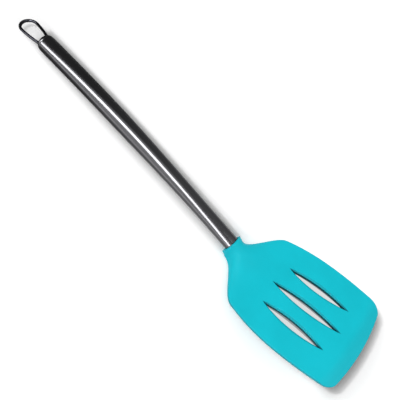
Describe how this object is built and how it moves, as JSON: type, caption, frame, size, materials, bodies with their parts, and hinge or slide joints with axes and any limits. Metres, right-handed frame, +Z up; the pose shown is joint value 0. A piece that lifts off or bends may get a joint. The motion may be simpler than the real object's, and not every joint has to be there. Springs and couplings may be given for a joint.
{
  "type": "slotted turner",
  "caption": "Slotted kitchen turner with a flexible silicone head, a slightly bent tubular steel handle and a wire loop to hang it by.",
  "frame": {"origin": "centre of the footprint on the table, with the turner lying on the heel of its head and the far end of its handle", "axes": "+X along the turner from the hanging loop to the blade's front edge, +Y to the blade's left side seen from above, +Z up from the table"},
  "size_m": [0.3518, 0.0772, 0.0432],
  "materials": {
    "silicone": "satin turquoise silicone",
    "nylon": "black glass-filled nylon",
    "steel": "satin stainless steel",
    "wire": "polished stainless wire"
  },
  "bodies": {
    "root": {"silicone_head": "silicone", "nylon_core": "nylon", "handle_tube": "steel", "end_cap": "steel", "hanging_loop": "wire"}
  },
  "joints": []
}
